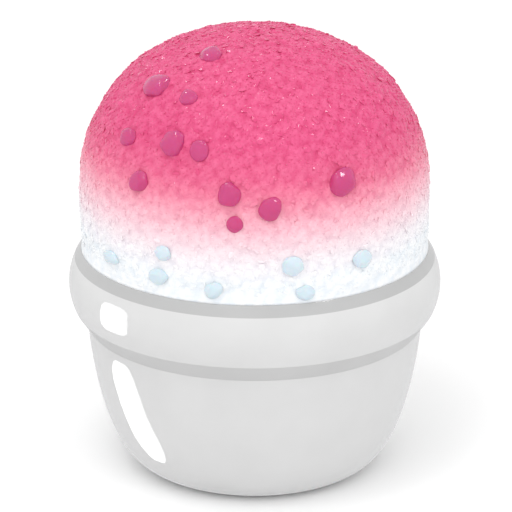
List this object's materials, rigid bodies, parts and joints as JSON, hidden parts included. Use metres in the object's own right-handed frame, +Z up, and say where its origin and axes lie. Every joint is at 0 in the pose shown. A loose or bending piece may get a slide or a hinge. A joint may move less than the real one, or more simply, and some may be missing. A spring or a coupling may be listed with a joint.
{
  "type": "kakigori",
  "caption": "Smooth dome of shaved ice, syrup pink above and white below, heaped in a round-bottomed glazed cup with a thick bevelled collar.",
  "frame": {"origin": "centre of the cup's foot, on the surface that it stands on", "axes": "+Z up, -Y towards the front that the picture shows, +X to the right of that view"},
  "size_m": [0.1202, 0.1202, 0.1452],
  "materials": {
    "cup": "pale grey gloss glaze",
    "shaved_ice": "fine ice crystals soaked with pink syrup, white near the cup"
  },
  "bodies": {
    "root": {"cup": "cup", "shaved_ice": "shaved_ice"}
  },
  "joints": []
}
